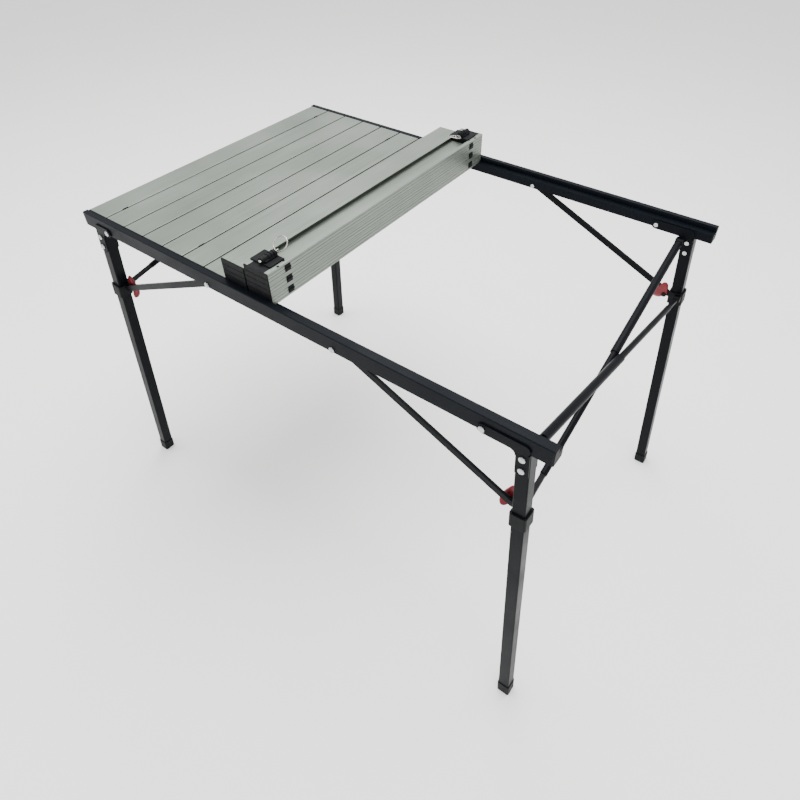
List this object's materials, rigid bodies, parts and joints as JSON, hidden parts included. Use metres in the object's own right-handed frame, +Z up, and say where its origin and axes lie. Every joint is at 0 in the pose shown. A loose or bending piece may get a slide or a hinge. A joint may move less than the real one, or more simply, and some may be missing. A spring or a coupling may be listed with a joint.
{
  "type": "folding picnic table",
  "caption": "Folding picnic table with splayed folding legs, telescoping cross braces and an aluminium slat top whose half folds up in pleats.",
  "frame": {"origin": "bottom centre of the box round the table: on the floor, midway between the feet", "axes": "+X along the side rails towards the open, unfolded end; +Y across the table towards the far rail; +Z up"},
  "size_m": [1.0648, 0.721, 0.7775],
  "materials": {
    "slats": "satin anodised",
    "rivets": "bright zinc",
    "latch_steel": "polished",
    "red_plastic": "semi-gloss",
    "black_plastic": "moulded satin",
    "bracket_steel": "satin powder coat",
    "strut_paint": "satin powder coat",
    "frame_paint": "satin powder coat"
  },
  "bodies": {
    "frame": {"near_rail": "frame_paint", "far_rail": "frame_paint", "rail_end_caps": "black_plastic", "rail_rivets": "rivets", "top_panel_1": "slats", "top_panel_2": "slats", "top_panel_3": "slats", "top_panel_4": "slats", "top_panel_5": "slats", "flat_slat_caps": "black_plastic", "flat_panel_links": "black_plastic"},
    "right_legs": {"right_near_leg": "frame_paint", "right_far_leg": "frame_paint", "right_leg_brackets": "bracket_steel", "right_foot_caps": "black_plastic", "right_leg_rivets": "rivets"},
    "right_near_slider": {"right_near_slider": "black_plastic"},
    "right_near_lever": {"right_near_lever": "red_plastic"},
    "right_near_strut": {"right_near_strut": "strut_paint"},
    "right_far_slider": {"right_far_slider": "black_plastic"},
    "right_far_lever": {"right_far_lever": "red_plastic"},
    "right_far_strut": {"right_far_strut": "strut_paint"},
    "right_brace_a": {"right_brace_tube_a": "strut_paint"},
    "right_brace_a_inner": {"right_brace_rod_a": "strut_paint"},
    "right_brace_a_end": {"right_brace_end_a": "black_plastic"},
    "right_brace_b": {"right_brace_tube_b": "strut_paint"},
    "right_brace_b_inner": {"right_brace_rod_b": "strut_paint"},
    "right_brace_b_end": {"right_brace_end_b": "black_plastic"},
    "left_legs": {"left_near_leg": "frame_paint", "left_far_leg": "frame_paint", "left_leg_brackets": "bracket_steel", "left_foot_caps": "black_plastic", "left_leg_rivets": "rivets"},
    "left_near_slider": {"left_near_slider": "black_plastic"},
    "left_near_lever": {"left_near_lever": "red_plastic"},
    "left_near_strut": {"left_near_strut": "strut_paint"},
    "left_far_slider": {"left_far_slider": "black_plastic"},
    "left_far_lever": {"left_far_lever": "red_plastic"},
    "left_far_strut": {"left_far_strut": "strut_paint"},
    "left_brace_a": {"left_brace_tube_a": "strut_paint"},
    "left_brace_a_inner": {"left_brace_rod_a": "strut_paint"},
    "left_brace_a_end": {"left_brace_end_a": "black_plastic"},
    "left_brace_b": {"left_brace_tube_b": "strut_paint"},
    "left_brace_b_inner": {"left_brace_rod_b": "strut_paint"},
    "left_brace_b_end": {"left_brace_end_b": "black_plastic"},
    "folding_panel_6": {"top_panel_6": "slats", "panel_6_fittings": "black_plastic"},
    "folding_panel_7": {"top_panel_7": "slats", "panel_7_fittings": "black_plastic"},
    "folding_panel_8": {"top_panel_8": "slats", "panel_8_fittings": "black_plastic"},
    "folding_panel_9": {"top_panel_9": "slats", "panel_9_fittings": "black_plastic"},
    "folding_panel_10": {"top_panel_10": "slats", "panel_10_fittings": "black_plastic", "latch_housings": "black_plastic"},
    "near_plunger": {"near_plunger": "latch_steel"},
    "near_pull_ring": {"near_pull_ring": "latch_steel"},
    "far_plunger": {"far_plunger": "latch_steel"},
    "far_pull_ring": {"far_pull_ring": "latch_steel"}
  },
  "joints": [
    {"name": "right_leg_fold", "type": "hinge", "parent": "frame", "child": "right_legs", "pos_m": [0.406, 0, 0.678], "axis": [0, 1, 0], "range_deg": [0, 88.3]},
    {"name": "right_near_slide", "type": "slide", "parent": "right_legs", "child": "right_near_slider", "axis": [0.0751, -0.0395, -0.9964], "range_m": [0, 0.46738]},
    {"name": "right_near_strut_turn", "type": "hinge", "parent": "frame", "child": "right_near_strut", "pos_m": [0.136, -0.319, 0.677], "axis": [0, 1, 0], "range_deg": [0, 138.74]},
    {"name": "right_near_lever_press", "type": "hinge", "parent": "right_near_slider", "child": "right_near_lever", "pos_m": [0.45892, -0.30981, 0.53276], "axis": [-0.003, -0.9992, 0.0394], "range_deg": [0, 12], "stiffness_Nm_per_rad": 0.05},
    {"name": "right_far_slide", "type": "slide", "parent": "right_legs", "child": "right_far_slider", "axis": [0.0751, 0.0395, -0.9964], "range_m": [0, 0.46738]},
    {"name": "right_far_strut_turn", "type": "hinge", "parent": "frame", "child": "right_far_strut", "pos_m": [0.136, 0.319, 0.677], "axis": [0, 1, 0], "range_deg": [0, 138.74]},
    {"name": "right_far_lever_press", "type": "hinge", "parent": "right_far_slider", "child": "right_far_lever", "pos_m": [0.45892, 0.30981, 0.53276], "axis": [0.003, -0.9992, -0.0394], "range_deg": [0, 12], "stiffness_Nm_per_rad": 0.05},
    {"name": "right_brace_a_swing", "type": "hinge", "parent": "right_legs", "child": "right_brace_a", "pos_m": [0.45803, 0.29909, 0.66173], "axis": [0.9971, 0.0142, 0.0746], "range_deg": [0, 31.6]},
    {"name": "right_brace_a_extend", "type": "slide", "parent": "right_brace_a", "child": "right_brace_a_inner", "axis": [0.0296, -0.9773, -0.2098], "range_m": [0, 0.24485]},
    {"name": "right_brace_a_end_turn", "type": "hinge", "parent": "right_near_slider", "child": "right_brace_a_end", "pos_m": [0.47634, -0.30567, 0.53191], "axis": [0.9971, 0.0142, 0.0746], "range_deg": [0, 31.6]},
    {"name": "right_brace_b_swing", "type": "hinge", "parent": "right_legs", "child": "right_brace_b", "pos_m": [0.47598, -0.29909, 0.66308], "axis": [-0.9972, 0, -0.0752], "range_deg": [0, 31.6]},
    {"name": "right_brace_b_extend", "type": "slide", "parent": "right_brace_b", "child": "right_brace_b_inner", "axis": [0.0159, 0.9774, -0.2108], "range_m": [0, 0.24486]},
    {"name": "right_brace_b_end_turn", "type": "hinge", "parent": "right_far_slider", "child": "right_brace_b_end", "pos_m": [0.48581, 0.30567, 0.53262], "axis": [-0.9972, 0, -0.0752], "range_deg": [0, 31.6]},
    {"name": "left_leg_fold", "type": "hinge", "parent": "frame", "child": "left_legs", "pos_m": [-0.4384, 0, 0.678], "axis": [0, -1, 0], "range_deg": [0, 92.6]},
    {"name": "left_near_slide", "type": "slide", "parent": "left_legs", "child": "left_near_slider", "axis": [-0.0751, -0.0395, -0.9964], "range_m": [0, 0.47934]},
    {"name": "left_near_strut_turn", "type": "hinge", "parent": "frame", "child": "left_near_strut", "pos_m": [-0.152, -0.325, 0.677], "axis": [0, -1, 0], "range_deg": [0, 150.33]},
    {"name": "left_near_lever_press", "type": "hinge", "parent": "left_near_slider", "child": "left_near_lever", "pos_m": [-0.4589, -0.31581, 0.533], "axis": [-0.003, 0.9992, -0.0394], "range_deg": [0, 12], "stiffness_Nm_per_rad": 0.05},
    {"name": "left_far_slide", "type": "slide", "parent": "left_legs", "child": "left_far_slider", "axis": [-0.0751, 0.0395, -0.9964], "range_m": [0, 0.47934]},
    {"name": "left_far_strut_turn", "type": "hinge", "parent": "frame", "child": "left_far_strut", "pos_m": [-0.152, 0.325, 0.677], "axis": [0, -1, 0], "range_deg": [0, 150.33]},
    {"name": "left_far_lever_press", "type": "hinge", "parent": "left_far_slider", "child": "left_far_lever", "pos_m": [-0.4589, 0.31581, 0.533], "axis": [0.003, 0.9992, 0.0394], "range_deg": [0, 12], "stiffness_Nm_per_rad": 0.05},
    {"name": "left_brace_a_swing", "type": "hinge", "parent": "left_legs", "child": "left_brace_a", "pos_m": [-0.45803, 0.29909, 0.66173], "axis": [0.9971, -0.0142, -0.0746], "range_deg": [0, 32.15]},
    {"name": "left_brace_a_extend", "type": "slide", "parent": "left_brace_a", "child": "left_brace_a_inner", "axis": [-0.0296, -0.9773, -0.2098], "range_m": [0, 0.2535]},
    {"name": "left_brace_a_end_turn", "type": "hinge", "parent": "left_near_slider", "child": "left_brace_a_end", "pos_m": [-0.47634, -0.30567, 0.53191], "axis": [0.9971, -0.0142, -0.0746], "range_deg": [0, 32.15]},
    {"name": "left_brace_b_swing", "type": "hinge", "parent": "left_legs", "child": "left_brace_b", "pos_m": [-0.47598, -0.29909, 0.66308], "axis": [-0.9972, 0, 0.0752], "range_deg": [0, 32.15]},
    {"name": "left_brace_b_extend", "type": "slide", "parent": "left_brace_b", "child": "left_brace_b_inner", "axis": [-0.0159, 0.9774, -0.2108], "range_m": [0, 0.25352]},
    {"name": "left_brace_b_end_turn", "type": "hinge", "parent": "left_far_slider", "child": "left_brace_b_end", "pos_m": [-0.48581, 0.30567, 0.53262], "axis": [-0.9972, 0, 0.0752], "range_deg": [0, 32.15]},
    {"name": "top_unfold", "type": "hinge", "parent": "frame", "child": "folding_panel_6", "pos_m": [0, 0, 0.70015], "axis": [0, 1, 0], "range_deg": [0, 180]},
    {"name": "panel_7_turn", "type": "hinge", "parent": "folding_panel_6", "child": "folding_panel_7", "pos_m": [-0.1134, 0, 0.71065], "axis": [0, 1, 0], "range_deg": [-180, 0]},
    {"name": "panel_8_turn", "type": "hinge", "parent": "folding_panel_7", "child": "folding_panel_8", "pos_m": [0, 0, 0.72115], "axis": [0, 1, 0], "range_deg": [0, 180]},
    {"name": "panel_9_turn", "type": "hinge", "parent": "folding_panel_8", "child": "folding_panel_9", "pos_m": [-0.1134, 0, 0.73165], "axis": [0, 1, 0], "range_deg": [-180, 0]},
    {"name": "panel_10_turn", "type": "hinge", "parent": "folding_panel_9", "child": "folding_panel_10", "pos_m": [0, 0, 0.74215], "axis": [0, 1, 0], "range_deg": [0, 180]},
    {"name": "near_plunger_pull", "type": "slide", "parent": "folding_panel_10", "child": "near_plunger", "axis": [0, 1, 0], "range_m": [0, 0.008], "stiffness_N_per_m": 300, "springref_m": -0.002},
    {"name": "near_ring_swing", "type": "hinge", "parent": "near_plunger", "child": "near_pull_ring", "pos_m": [-0.03035, -0.2685, 0.7579], "axis": [-1, 0, 0], "range_deg": [0, 38]},
    {"name": "far_plunger_pull", "type": "slide", "parent": "folding_panel_10", "child": "far_plunger", "axis": [0, -1, 0], "range_m": [0, 0.008], "stiffness_N_per_m": 300, "springref_m": -0.002},
    {"name": "far_ring_swing", "type": "hinge", "parent": "far_plunger", "child": "far_pull_ring", "pos_m": [-0.03035, 0.2685, 0.7579], "axis": [1, 0, 0], "range_deg": [0, 14]}
  ],
  "couplings": [
    {"joint": "right_near_slide", "follows": "right_leg_fold", "m_per_rad": 0.30327},
    {"joint": "right_near_strut_turn", "follows": "right_leg_fold", "ratio": 1.5712},
    {"joint": "right_far_slide", "follows": "right_leg_fold", "m_per_rad": 0.30327},
    {"joint": "right_far_strut_turn", "follows": "right_leg_fold", "ratio": 1.5712},
    {"joint": "right_brace_a_swing", "follows": "right_leg_fold", "ratio": 0.35788},
    {"joint": "right_brace_a_end_turn", "follows": "right_leg_fold", "ratio": 0.35788},
    {"joint": "right_brace_a_extend", "follows": "right_leg_fold", "m_per_rad": 0.15887},
    {"joint": "right_brace_b_swing", "follows": "right_leg_fold", "ratio": 0.3579},
    {"joint": "right_brace_b_end_turn", "follows": "right_leg_fold", "ratio": 0.3579},
    {"joint": "right_brace_b_extend", "follows": "right_leg_fold", "m_per_rad": 0.15888},
    {"joint": "left_near_slide", "follows": "left_leg_fold", "m_per_rad": 0.29659},
    {"joint": "left_near_strut_turn", "follows": "left_leg_fold", "ratio": 1.6234},
    {"joint": "left_far_slide", "follows": "left_leg_fold", "m_per_rad": 0.29659},
    {"joint": "left_far_strut_turn", "follows": "left_leg_fold", "ratio": 1.6234},
    {"joint": "left_brace_a_swing", "follows": "left_leg_fold", "ratio": 0.34715},
    {"joint": "left_brace_a_end_turn", "follows": "left_leg_fold", "ratio": 0.34715},
    {"joint": "left_brace_a_extend", "follows": "left_leg_fold", "m_per_rad": 0.15685},
    {"joint": "left_brace_b_swing", "follows": "left_leg_fold", "ratio": 0.34717},
    {"joint": "left_brace_b_end_turn", "follows": "left_leg_fold", "ratio": 0.34717},
    {"joint": "left_brace_b_extend", "follows": "left_leg_fold", "m_per_rad": 0.15686},
    {"joint": "panel_7_turn", "follows": "top_unfold", "ratio": -1},
    {"joint": "panel_8_turn", "follows": "top_unfold", "ratio": 1},
    {"joint": "panel_9_turn", "follows": "top_unfold", "ratio": -1},
    {"joint": "panel_10_turn", "follows": "top_unfold", "ratio": 1}
  ]
}
